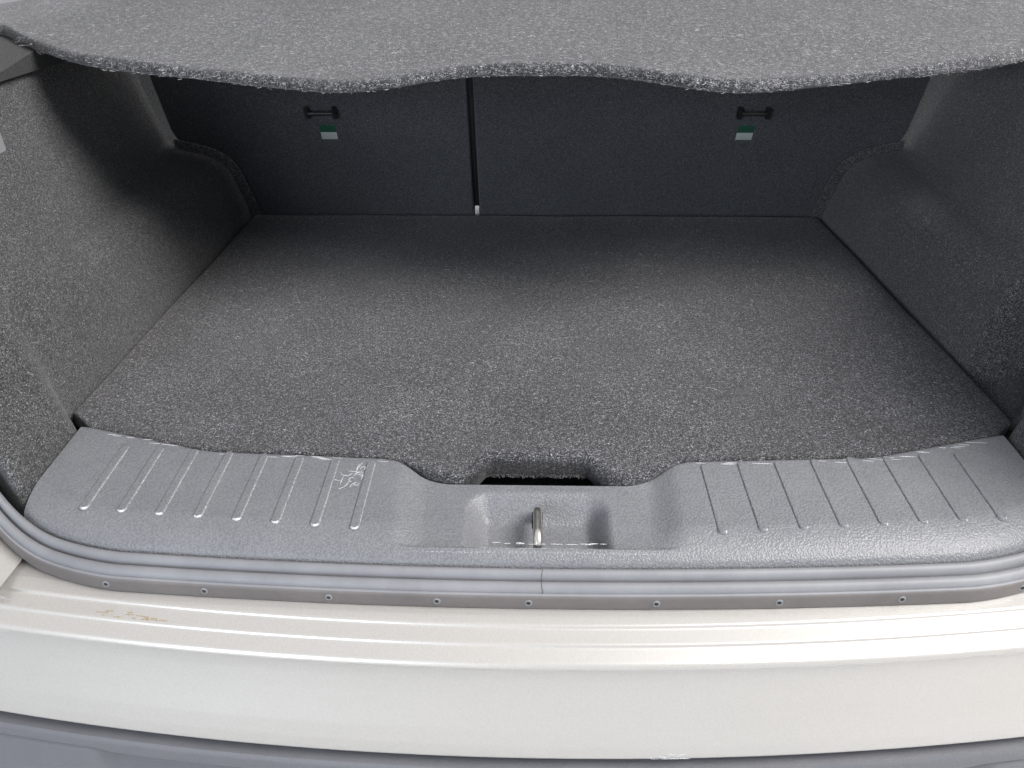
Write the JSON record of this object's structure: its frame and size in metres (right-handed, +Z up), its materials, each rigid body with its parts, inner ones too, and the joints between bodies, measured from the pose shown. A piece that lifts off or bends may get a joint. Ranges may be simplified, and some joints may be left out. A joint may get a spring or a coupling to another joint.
{
  "type": "luggage compartment of a hybrid crossover suv",
  "caption": "Rear body section of a crossover car: hollow boot with hinged load floor, folding seat backs, parcel shelf, scuff sill with latch striker, body sides and bumper.",
  "frame": {"origin": "centre of the front crossmember's front joint face", "axes": "+X to the car's right, +Y towards the car's front, +Z up"},
  "size_m": [1.812, 1.313, 1.1624],
  "materials": {
    "body_primer": "satin body primer",
    "battery_case": "cast",
    "body_paint": "metallic clearcoat",
    "black_plastic": "grained",
    "bumper_plastic": "grained",
    "trim_plastic": "grained",
    "pale_plastic": "fine grain",
    "side_carpet": "needle felt",
    "floor_carpet": "needle felt",
    "shelf_felt": "felt",
    "seat_felt": "felt backing",
    "seat_cloth": "woven",
    "foam": "bead foam",
    "lamp_lens": "polished",
    "bare_steel": "zinc plated",
    "seal_rubber": "matt"
  },
  "bodies": {
    "body_section": {"front_crossmember": "body_primer", "floor_pan": "body_primer", "traction_battery": "battery_case", "chassis_leg_left": "body_primer", "chassis_leg_right": "body_primer", "bumper_beam": "body_primer", "wheelhouse_left": "body_primer", "wheelhouse_right": "body_primer", "quarter_panel_left": "body_paint", "quarter_panel_right": "body_paint", "arch_cladding_left": "black_plastic", "arch_cladding_right": "black_plastic", "arch_liner_left": "black_plastic", "arch_liner_right": "black_plastic", "reflector_left": "lamp_lens", "reflector_right": "lamp_lens", "side_trim_left": "side_carpet", "side_trim_right": "side_carpet", "shelf_support_left": "trim_plastic", "shelf_support_right": "trim_plastic", "pillar_trim_left": "pale_plastic", "pillar_trim_right": "pale_plastic", "tail_lamp_left": "lamp_lens", "tail_lamp_right": "lamp_lens", "back_panel": "body_paint", "bumper_cover": "body_paint", "bumper_valance": "bumper_plastic", "underfloor_tray": "foam", "sill_trim": "trim_plastic", "latch_striker": "bare_steel", "striker_bracket": "body_primer", "tailgate_seal": "seal_rubber", "seat_hinge_brackets": "bare_steel"},
    "floor_board": {"load_floor": "floor_carpet"},
    "shelf_board": {"parcel_shelf": "shelf_felt"},
    "seat_back_left": {"seat_back_panel_left": "seat_felt", "seat_back_cushion_left": "seat_cloth", "head_restraint_left": "seat_cloth", "tether_anchor_left": "bare_steel"},
    "seat_back_right": {"seat_back_panel_right": "seat_felt", "seat_back_cushion_right": "seat_cloth", "head_restraint_right": "seat_cloth", "tether_anchor_right": "bare_steel"}
  },
  "joints": [
    {"name": "load_floor_lift", "type": "hinge", "parent": "body_section", "child": "floor_board", "pos_m": [0, -0.121, 0.13], "axis": [-1, 0, 0], "range_deg": [0, 25]},
    {"name": "parcel_shelf_tilt", "type": "hinge", "parent": "body_section", "child": "shelf_board", "pos_m": [0, -0.27, 0.4865], "axis": [-1, 0, 0], "range_deg": [0, 45]},
    {"name": "seat_back_left_fold", "type": "hinge", "parent": "body_section", "child": "seat_back_left", "pos_m": [0, -0.06, 0.15], "axis": [-1, 0, 0], "range_deg": [0, 100]},
    {"name": "seat_back_right_fold", "type": "hinge", "parent": "body_section", "child": "seat_back_right", "pos_m": [0, -0.06, 0.15], "axis": [-1, 0, 0], "range_deg": [0, 100]}
  ]
}
